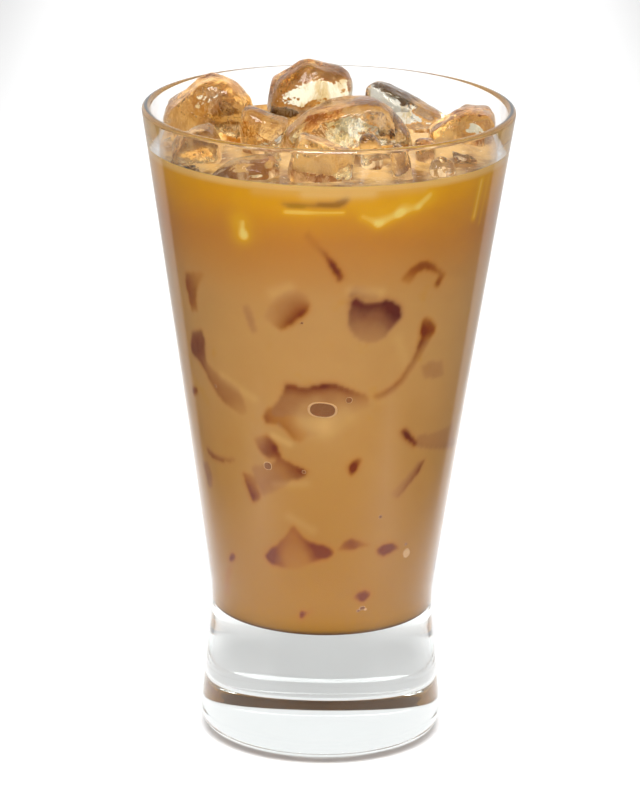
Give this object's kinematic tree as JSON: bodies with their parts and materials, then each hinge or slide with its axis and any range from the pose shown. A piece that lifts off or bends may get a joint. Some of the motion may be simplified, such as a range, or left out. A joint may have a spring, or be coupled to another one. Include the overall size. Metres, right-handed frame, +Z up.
{
  "type": "iced milk coffee",
  "caption": "Tall flared tumbler with a thick solid foot, filled with iced milk coffee and crowded with clear ice that stands out of the drink.",
  "frame": {"origin": "on the table, at the centre of the round foot, which is also the bottom centre of the whole", "axes": "+Z up along the tumbler's axis of rotation; the view of the picture looks along +Y with +X to the right"},
  "size_m": [0.0854, 0.0854, 0.1566],
  "materials": {
    "glass": "clear, polished",
    "coffee": "smooth, wet, milky",
    "ice": "clear, wet, melting"
  },
  "bodies": {
    "root": {"glass": "glass", "coffee": "coffee", "ice_back_left": "ice", "ice_back": "ice", "ice_back_right": "ice", "ice_back_low_left": "ice", "ice_back_low_right": "ice", "ice_middle": "ice", "ice_middle_left": "ice", "ice_left_front": "ice", "ice_front_left": "ice", "ice_front": "ice", "ice_front_right": "ice", "ice_front_right_low": "ice", "ice_right_small": "ice", "ice_right_front": "ice", "ice_right": "ice"}
  },
  "joints": []
}
